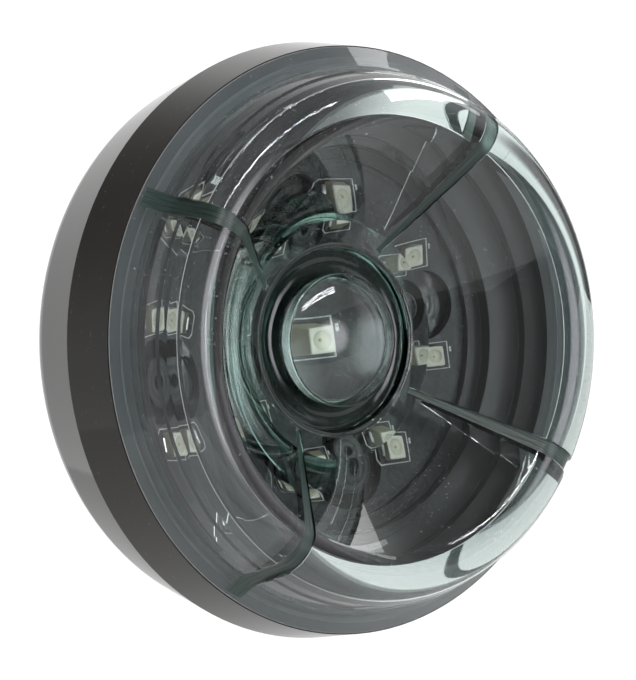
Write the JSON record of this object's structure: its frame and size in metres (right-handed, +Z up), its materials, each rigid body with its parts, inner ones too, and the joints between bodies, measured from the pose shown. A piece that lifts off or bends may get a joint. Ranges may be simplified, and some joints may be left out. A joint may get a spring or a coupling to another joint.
{
  "type": "motorcycle tail light",
  "caption": "Round motorcycle tail light: black cup housing, smoky clear lens with a conical bowl, stepped flank and rounded crest, bull's-eye at its hub, square lamps on a round board.",
  "frame": {"origin": "middle of the flat back face, on the lamp's axis, between the two mounting inserts", "axes": "+Y out of the back along the lamp's axis, so the lens looks along -Y; +Z up; +X to the right as seen from the front"},
  "size_m": [0.1, 0.0432, 0.1],
  "materials": {
    "housing_black": "glossy black moulding",
    "smoke_lens": "smoky clear moulding with a green cast, polished",
    "clear_lens": "clear moulding with a green cast, polished",
    "seal_rubber": "matt black",
    "bezel_black": "semi-gloss black",
    "board_black": "black solder resist",
    "chip_black": "matt black mould compound",
    "vent_grey": "matt grey",
    "insert_brass": "turned",
    "led_cream": "cream package with a pale dish",
    "resistor_ceramic": "dark film on ceramic"
  },
  "bodies": {
    "root": {"rear_housing": "housing_black", "lens": "smoke_lens", "centre_lens": "clear_lens", "lens_seal": "seal_rubber", "inner_bezel": "bezel_black", "circuit_board": "board_black", "driver_chip": "chip_black", "polarity_diode": "chip_black", "cable_grommet": "seal_rubber", "breather_plug": "vent_grey", "mounting_insert_1": "insert_brass", "mounting_insert_2": "insert_brass", "ring_led_1": "led_cream", "ring_led_2": "led_cream", "ring_led_3": "led_cream", "ring_led_4": "led_cream", "ring_led_5": "led_cream", "ring_led_6": "led_cream", "ring_led_7": "led_cream", "ring_led_8": "led_cream", "centre_led": "led_cream", "resistor_1": "resistor_ceramic", "resistor_2": "resistor_ceramic", "resistor_3": "resistor_ceramic", "resistor_4": "resistor_ceramic"}
  },
  "joints": []
}
